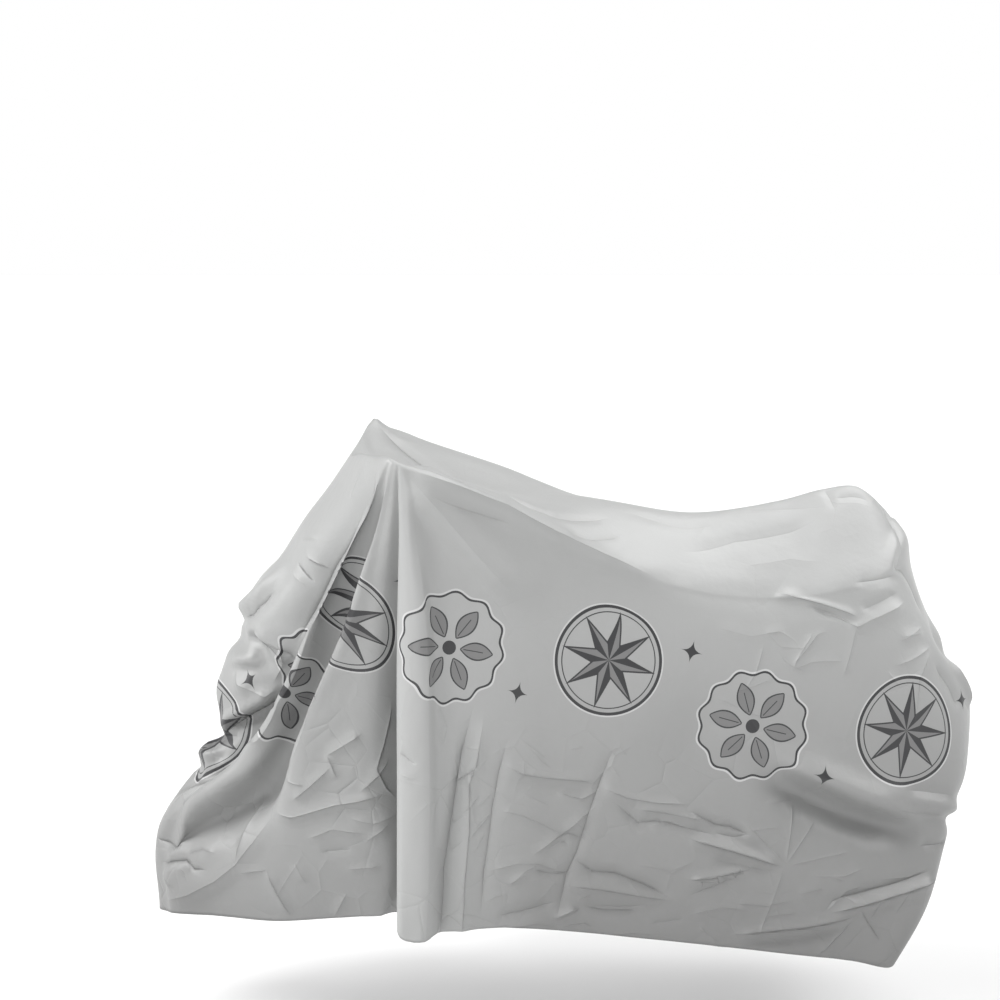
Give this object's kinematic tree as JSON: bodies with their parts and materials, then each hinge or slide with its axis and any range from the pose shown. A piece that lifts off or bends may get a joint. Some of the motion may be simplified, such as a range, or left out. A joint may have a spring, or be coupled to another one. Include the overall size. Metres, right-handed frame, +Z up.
{
  "type": "motorcycle cover",
  "caption": "Fitted motorcycle cover of thin silver-grey plastic film, open below, hanging in folds from its front peaks, with a dip at the saddle and a raised tail.",
  "frame": {"origin": "underside of the film at the saddle, the low point of the top on the mid-plane", "axes": "+X towards the tail, +Z up, -Y the side that faces the picture's camera"},
  "size_m": [1.9788, 0.8596, 1.203],
  "materials": {
    "film": "satin silver-grey plastic film, finely crinkled, with a charcoal print in a band round the sides"
  },
  "bodies": {
    "root": {"cover": "film"}
  },
  "joints": []
}
